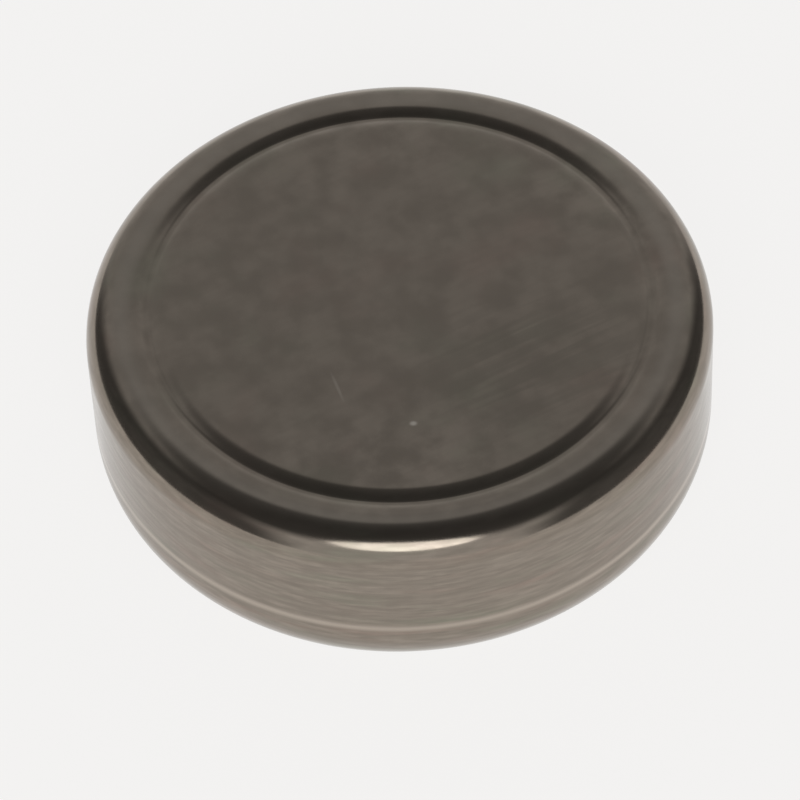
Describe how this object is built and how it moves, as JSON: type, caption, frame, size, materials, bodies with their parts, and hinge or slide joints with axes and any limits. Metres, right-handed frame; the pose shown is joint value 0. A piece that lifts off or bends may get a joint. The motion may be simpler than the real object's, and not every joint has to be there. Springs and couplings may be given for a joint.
{
  "type": "button cell battery",
  "caption": "Round rechargeable button cell for an earbud: drawn steel can with a ring groove in its face, crimped over a cap and gasket, with wound electrodes and tabs inside.",
  "frame": {"origin": "centre of the flat negative face that the cell stands on", "axes": "+Z along the cell's axis, from the negative face to the positive face; +X towards the positive tab's leg"},
  "size_m": [0.012, 0.012, 0.004],
  "materials": {
    "can_steel": "drawn nickel-plated steel, dull satin",
    "cap_steel": "drawn nickel-plated steel, satin",
    "gasket_plastic": "moulded polypropylene, natural",
    "wound_electrodes": "wound coated foil",
    "tape": "polyimide film",
    "insulator": "cut polymer film",
    "aluminium_tab": "rolled strip",
    "nickel_tab": "rolled strip"
  },
  "bodies": {
    "root": {"positive_can": "can_steel", "sealing_gasket": "gasket_plastic", "negative_cap": "cap_steel", "electrode_roll": "wound_electrodes", "roll_tape": "tape", "upper_insulator": "insulator", "lower_insulator": "insulator", "positive_tab": "aluminium_tab", "positive_tab_cover": "tape", "negative_tab": "nickel_tab"}
  },
  "joints": []
}
